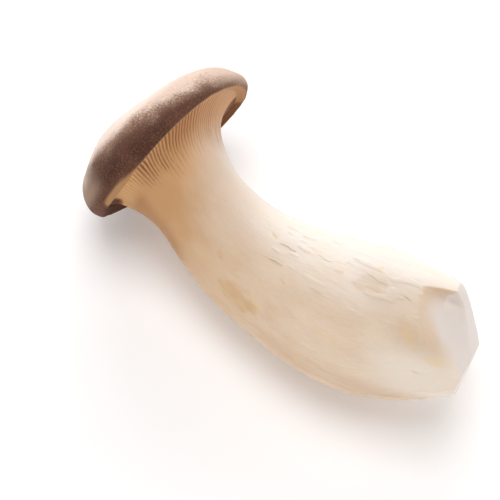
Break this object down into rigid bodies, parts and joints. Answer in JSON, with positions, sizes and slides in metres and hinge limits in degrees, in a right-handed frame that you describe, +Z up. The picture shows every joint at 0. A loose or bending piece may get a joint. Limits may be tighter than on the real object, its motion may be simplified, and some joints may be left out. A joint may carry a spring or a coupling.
{
  "type": "king oyster mushroom",
  "caption": "King oyster mushroom lying on its side: brown cap with a rolled margin, gills that run down onto the neck, and a thick pale bent stem with a knife-trimmed foot.",
  "frame": {"origin": "on the surface that the mushroom lies on, under the centre of its bounding box", "axes": "+Z up from the surface, +X along the mushroom's length from the cap towards the trimmed foot, +Y towards the inner side of the stem's bend"},
  "size_m": [0.146, 0.0662, 0.0624],
  "materials": {
    "flesh": "matte"
  },
  "bodies": {
    "root": {"mushroom": "flesh"}
  },
  "joints": []
}
